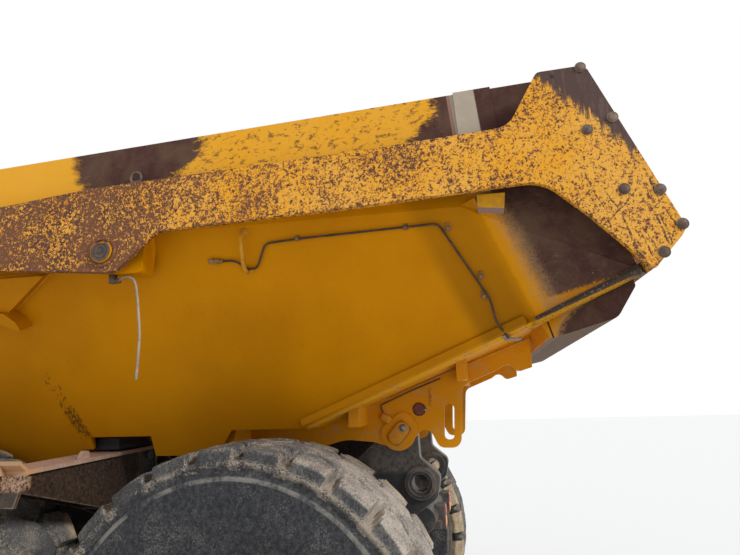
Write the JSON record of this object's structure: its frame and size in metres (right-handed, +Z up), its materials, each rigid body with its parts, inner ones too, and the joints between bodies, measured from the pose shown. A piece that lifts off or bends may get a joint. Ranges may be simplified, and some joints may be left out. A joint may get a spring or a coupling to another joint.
{
  "type": "articulated dump truck",
  "caption": "Articulated dump truck with a tipping body, overhung tailgate, articulated frame joint, tilting hood and cab door",
  "frame": {"origin": "centre of the whole machine's plan, on the ground", "axes": "+X to the machine's left, the front looks along -Y, +Z up"},
  "size_m": [3.45, 11.0952, 3.735],
  "materials": {
    "yellow_paint": "worn",
    "dark_paint": "worn",
    "cast_grey": "rough",
    "chrome_rod": "polished",
    "rubber_pad": "matt",
    "cab_glazing": "clear",
    "cab_trim": "matt",
    "tyre_rubber": "dusty"
  },
  "bodies": {
    "rear_frame": {"rear_frame": "dark_paint", "body_pads": "rubber_pad", "equaliser_beams": "dark_paint", "bogie_axles": "dark_paint"},
    "hitch": {"hitch": "dark_paint"},
    "front_frame": {"front_frame": "dark_paint", "front_axle": "dark_paint", "engine": "cast_grey", "side_tanks": "yellow_paint", "fenders": "yellow_paint", "bumper": "yellow_paint", "cab_shell": "yellow_paint", "cab_glass": "cab_glazing", "cab_interior": "cab_trim", "exhaust": "dark_paint", "rails_and_mirrors": "dark_paint"},
    "hood": {"hood": "yellow_paint"},
    "cab_door": {"cab_door": "yellow_paint", "door_glass": "cab_glazing"},
    "dump_body": {"body_floor": "yellow_paint", "body_side_left": "yellow_paint", "body_side_right": "yellow_paint", "body_front_wall": "yellow_paint", "body_beams": "yellow_paint"},
    "tailgate": {"tailgate": "yellow_paint"},
    "wheel_front_left": {"tyre_front_left": "tyre_rubber", "rim_front_left": "yellow_paint"},
    "wheel_front_right": {"tyre_front_right": "tyre_rubber", "rim_front_right": "yellow_paint"},
    "wheel_middle_left": {"tyre_middle_left": "tyre_rubber", "rim_middle_left": "yellow_paint"},
    "wheel_middle_right": {"tyre_middle_right": "tyre_rubber", "rim_middle_right": "yellow_paint"},
    "wheel_rear_left": {"tyre_rear_left": "tyre_rubber", "rim_rear_left": "yellow_paint"},
    "wheel_rear_right": {"tyre_rear_right": "tyre_rubber", "rim_rear_right": "yellow_paint"},
    "hoist_barrel_left": {"hoist_barrel_left": "dark_paint"},
    "hoist_rod_left": {"hoist_rod_left": "chrome_rod"},
    "steer_barrel_left": {"steer_barrel_left": "dark_paint"},
    "steer_rod_left": {"steer_rod_left": "chrome_rod"},
    "hoist_barrel_right": {"hoist_barrel_right": "dark_paint"},
    "hoist_rod_right": {"hoist_rod_right": "chrome_rod"},
    "steer_barrel_right": {"steer_barrel_right": "dark_paint"},
    "steer_rod_right": {"steer_rod_right": "chrome_rod"}
  },
  "joints": [
    {"name": "oscillation", "type": "hinge", "parent": "rear_frame", "child": "hitch", "pos_m": [0, -1, 1.15], "axis": [0, 1, 0], "range_deg": [-8, 8]},
    {"name": "articulation", "type": "hinge", "parent": "hitch", "child": "front_frame", "pos_m": [0, -1.45, 1.15], "axis": [0, 0, 1], "range_deg": [-45, 45]},
    {"name": "body_tip", "type": "hinge", "parent": "rear_frame", "child": "dump_body", "pos_m": [0, 4.155, 1.855], "axis": [-1, 0, 0], "range_deg": [0, 70]},
    {"name": "tailgate_swing", "type": "hinge", "parent": "dump_body", "child": "tailgate", "pos_m": [0, 2.822, 2.818], "axis": [1, 0, 0], "range_deg": [0, 40]},
    {"name": "hood_tilt", "type": "hinge", "parent": "front_frame", "child": "hood", "pos_m": [0, -5.33, 1.47], "axis": [1, 0, 0], "range_deg": [0, 60]},
    {"name": "cab_door_swing", "type": "hinge", "parent": "front_frame", "child": "cab_door", "pos_m": [0.885, -2.07, 2.6], "axis": [0, 0, 1], "range_deg": [0, 85]},
    {"name": "wheel_front_left", "type": "hinge", "parent": "front_frame", "child": "wheel_front_left", "pos_m": [1.35, -2.785, 0.935], "axis": [1, 0, 0], "continuous": true},
    {"name": "wheel_front_right", "type": "hinge", "parent": "front_frame", "child": "wheel_front_right", "pos_m": [-1.35, -2.785, 0.935], "axis": [1, 0, 0], "continuous": true},
    {"name": "wheel_middle_left", "type": "hinge", "parent": "rear_frame", "child": "wheel_middle_left", "pos_m": [1.35, 1.485, 0.935], "axis": [1, 0, 0], "continuous": true},
    {"name": "wheel_middle_right", "type": "hinge", "parent": "rear_frame", "child": "wheel_middle_right", "pos_m": [-1.35, 1.485, 0.935], "axis": [1, 0, 0], "continuous": true},
    {"name": "wheel_rear_left", "type": "hinge", "parent": "rear_frame", "child": "wheel_rear_left", "pos_m": [1.35, 3.535, 0.935], "axis": [1, 0, 0], "continuous": true},
    {"name": "wheel_rear_right", "type": "hinge", "parent": "rear_frame", "child": "wheel_rear_right", "pos_m": [-1.35, 3.535, 0.935], "axis": [1, 0, 0], "continuous": true},
    {"name": "hoist_swing_left", "type": "hinge", "parent": "rear_frame", "child": "hoist_barrel_left", "pos_m": [0.265, 0.5, 1], "axis": [1, 0, 0], "range_deg": [0, 15.4]},
    {"name": "hoist_stroke_left", "type": "slide", "parent": "hoist_barrel_left", "child": "hoist_rod_left", "axis": [0, 0.9353, 0.3537], "range_m": [0, 1.484]},
    {"name": "steer_swing_left", "type": "hinge", "parent": "front_frame", "child": "steer_barrel_left", "pos_m": [0.6, -2.3, 1.25], "axis": [0, 0, 1], "range_deg": [-1.19, 1.19]},
    {"name": "steer_stroke_left", "type": "slide", "parent": "steer_barrel_left", "child": "steer_rod_left", "axis": [-0.2873, 0.9578, 0], "range_m": [-0.237, 0.237]},
    {"name": "hoist_swing_right", "type": "hinge", "parent": "rear_frame", "child": "hoist_barrel_right", "pos_m": [-0.265, 0.5, 1], "axis": [1, 0, 0], "range_deg": [0, 15.4]},
    {"name": "hoist_stroke_right", "type": "slide", "parent": "hoist_barrel_right", "child": "hoist_rod_right", "axis": [0, 0.9353, 0.3537], "range_m": [0, 1.484]},
    {"name": "steer_swing_right", "type": "hinge", "parent": "front_frame", "child": "steer_barrel_right", "pos_m": [-0.6, -2.3, 1.25], "axis": [0, 0, 1], "range_deg": [-1.19, 1.19]},
    {"name": "steer_stroke_right", "type": "slide", "parent": "steer_barrel_right", "child": "steer_rod_right", "axis": [0.2873, 0.9578, 0], "range_m": [-0.237, 0.237]}
  ],
  "couplings": [
    {"joint": "tailgate_swing", "follows": "body_tip", "ratio": 0.57143},
    {"joint": "hoist_swing_left", "follows": "body_tip", "ratio": 0.21755},
    {"joint": "hoist_stroke_left", "follows": "body_tip", "m_per_rad": 1.2128},
    {"joint": "steer_swing_left", "follows": "articulation", "ratio": -0.02414},
    {"joint": "steer_stroke_left", "follows": "articulation", "m_per_rad": -0.301},
    {"joint": "hoist_swing_right", "follows": "body_tip", "ratio": 0.21755},
    {"joint": "hoist_stroke_right", "follows": "body_tip", "m_per_rad": 1.2128},
    {"joint": "steer_swing_right", "follows": "articulation", "ratio": -0.02414},
    {"joint": "steer_stroke_right", "follows": "articulation", "m_per_rad": 0.301}
  ]
}
